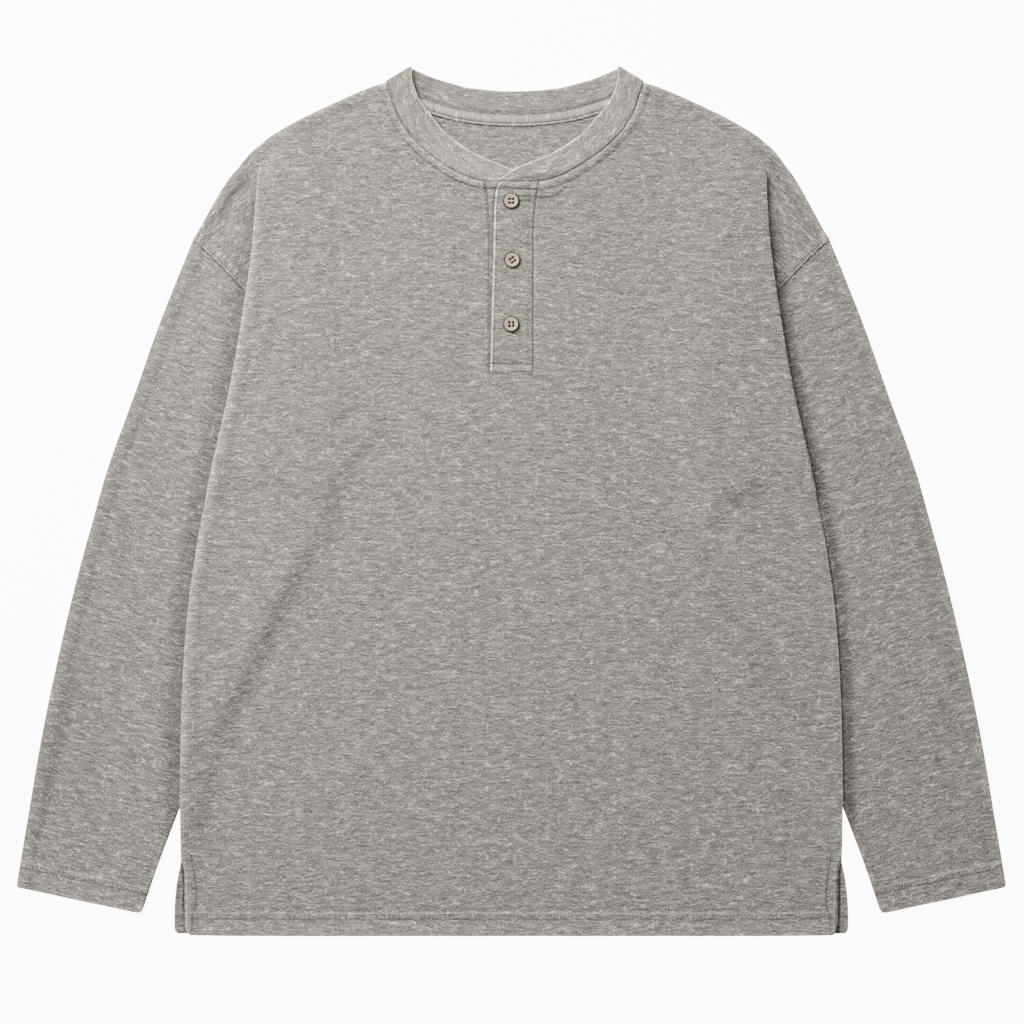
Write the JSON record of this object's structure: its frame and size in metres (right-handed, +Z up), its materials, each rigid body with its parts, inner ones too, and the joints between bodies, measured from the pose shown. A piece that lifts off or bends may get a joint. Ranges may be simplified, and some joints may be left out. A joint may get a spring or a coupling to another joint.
{
  "type": "henley shirt",
  "caption": "Long-sleeved collarless shirt with a neckband and a short buttoned placket, laid flat with its sleeves folded in under the sides.",
  "frame": {"origin": "on the surface that the shirt lies on, under the middle of its bounding box", "axes": "+X to the wearer's left, across the shirt; +Y from the hem to the neck; +Z up, out of the front"},
  "size_m": [0.8504, 0.748, 0.0092],
  "materials": {
    "heather_knit": "brushed heather-grey jersey, matte",
    "neckband_knit": "the same jersey doubled along the neck, matte",
    "tape_cloth": "narrow self-colour tape, matte",
    "button_resin": "warm grey resin, polished low"
  },
  "bodies": {
    "root": {"front": "heather_knit", "back": "heather_knit", "sleeve_left": "heather_knit", "sleeve_right": "heather_knit", "placket_over": "heather_knit", "placket_under": "heather_knit", "neckband": "neckband_knit", "neck_tape": "tape_cloth", "button_1": "button_resin", "button_2": "button_resin", "button_3": "button_resin"}
  },
  "joints": []
}
